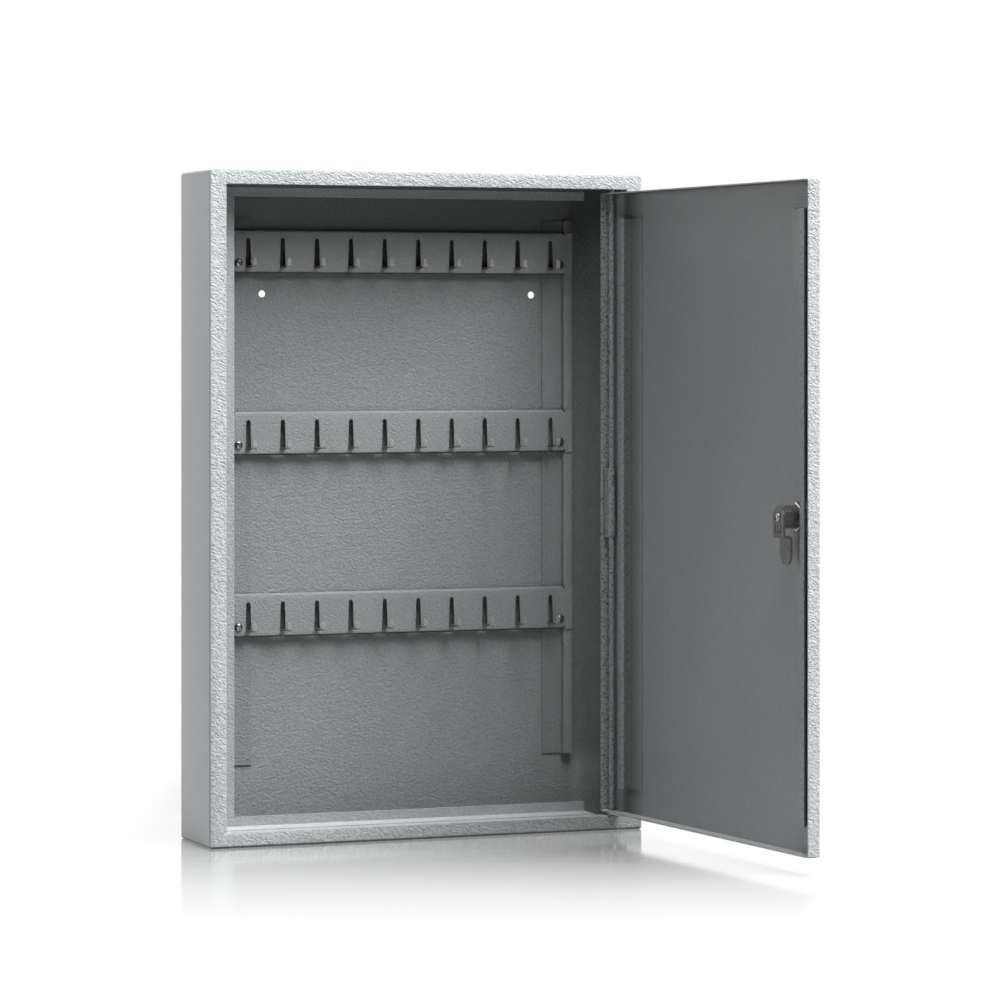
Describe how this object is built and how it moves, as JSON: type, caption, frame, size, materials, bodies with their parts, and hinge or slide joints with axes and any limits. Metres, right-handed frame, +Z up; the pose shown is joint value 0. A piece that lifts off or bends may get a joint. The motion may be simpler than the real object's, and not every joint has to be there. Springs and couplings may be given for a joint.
{
  "type": "key cabinet",
  "caption": "Shallow folded-steel wall cabinet with an inset hinged door, a cam lock and slotted rails whose lanced hooks hold keys.",
  "frame": {"origin": "centre of the rear face that lies on the wall", "axes": "+Z up, -Y out of the wall towards the user, +X towards the door's hinge; the door is shown 94.6 degrees open"},
  "size_m": [0.3869, 0.4113, 0.55],
  "materials": {
    "hammer_paint": "light grey hammered paint, satin",
    "steel_rod": "plain drawn rod",
    "plated_steel": "zinc plated",
    "zinc_casting": "die cast, satin",
    "brass": "plain"
  },
  "bodies": {
    "cabinet": {"body_wrap": "hammer_paint", "back_panel": "hammer_paint", "door_stop_top": "hammer_paint", "door_stop_bottom": "hammer_paint", "door_stop_left": "hammer_paint", "rail_bracket_left": "hammer_paint", "rail_bracket_right": "hammer_paint", "key_rail_top": "hammer_paint", "key_rail_middle": "hammer_paint", "key_rail_bottom": "hammer_paint", "rail_screw_top_left": "plated_steel", "rail_screw_top_right": "plated_steel", "rail_screw_middle_left": "plated_steel", "rail_screw_middle_right": "plated_steel", "rail_screw_bottom_left": "plated_steel", "rail_screw_bottom_right": "plated_steel", "hinge_rod": "steel_rod", "hinge_washer": "brass"},
    "door": {"door_panel": "hammer_paint", "door_bracket_hinge_side": "hammer_paint", "door_bracket_lock_side": "hammer_paint", "hinge_sleeve": "hammer_paint", "lock_housing": "zinc_casting", "lock_nut": "plated_steel"},
    "cam": {"lock_plug": "zinc_casting", "lock_wafer_1": "brass", "lock_wafer_2": "brass", "lock_wafer_3": "brass", "lock_wafer_4": "brass", "lock_wafer_5": "brass", "lock_cam": "zinc_casting", "cam_screw": "plated_steel"}
  },
  "joints": [
    {"name": "door_hinge", "type": "hinge", "parent": "cabinet", "child": "door", "pos_m": [0.164, -0.0749, 0], "axis": [0, 0, 1], "range_deg": [-94.6, 33.4]},
    {"name": "lock_turn", "type": "hinge", "parent": "door", "child": "cam", "pos_m": [0.18866, -0.38141, 0], "axis": [-0.9968, -0.0802, 0], "range_deg": [0, 90]}
  ]
}
